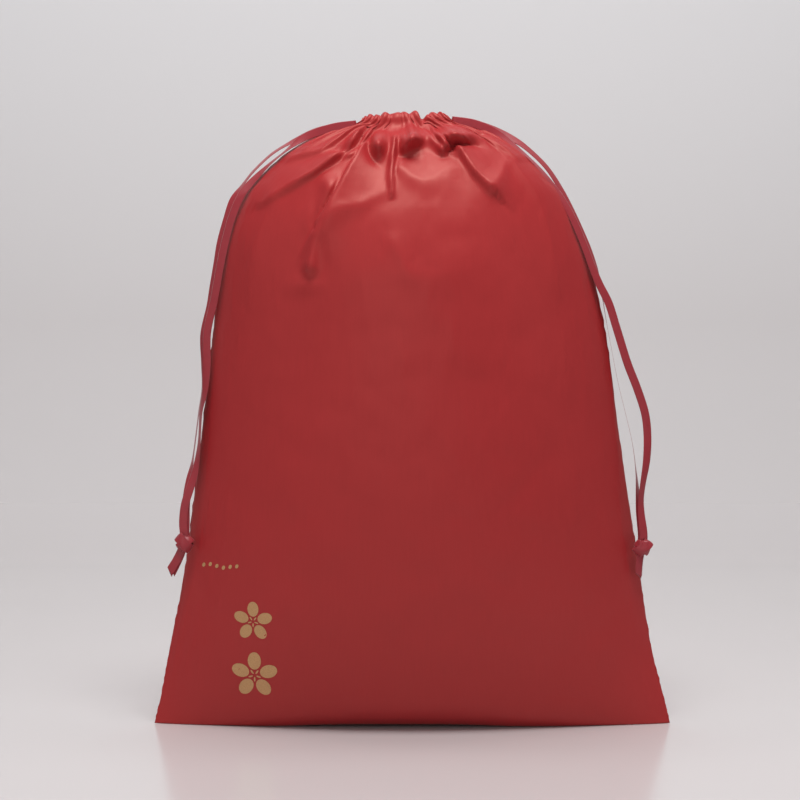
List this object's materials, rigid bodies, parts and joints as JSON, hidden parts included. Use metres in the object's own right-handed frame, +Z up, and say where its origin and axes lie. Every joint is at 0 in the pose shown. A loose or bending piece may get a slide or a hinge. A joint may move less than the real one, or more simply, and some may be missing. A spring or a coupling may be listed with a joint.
{
  "type": "kinchaku drawstring pouch",
  "caption": "Satin drawstring pouch, filled out and standing on its bottom seam, with the mouth gathered shut by ribbon drawstrings knotted at each side",
  "frame": {"origin": "on the floor under the middle of the cloth body", "axes": "+X right, +Y to the back, +Z up; the printed side faces -Y"},
  "size_m": [0.383, 0.1448, 0.458],
  "materials": {
    "polyester_satin": "red polyester satin, woven, soft sheen",
    "satin_ribbon": "red woven satin ribbon, 6 mm wide"
  },
  "bodies": {
    "root": {"pouch_body": "polyester_satin", "left_strand_front": "satin_ribbon", "left_strand_back": "satin_ribbon", "right_strand_front": "satin_ribbon", "right_strand_back": "satin_ribbon", "left_knot": "satin_ribbon", "right_knot": "satin_ribbon"}
  },
  "joints": []
}
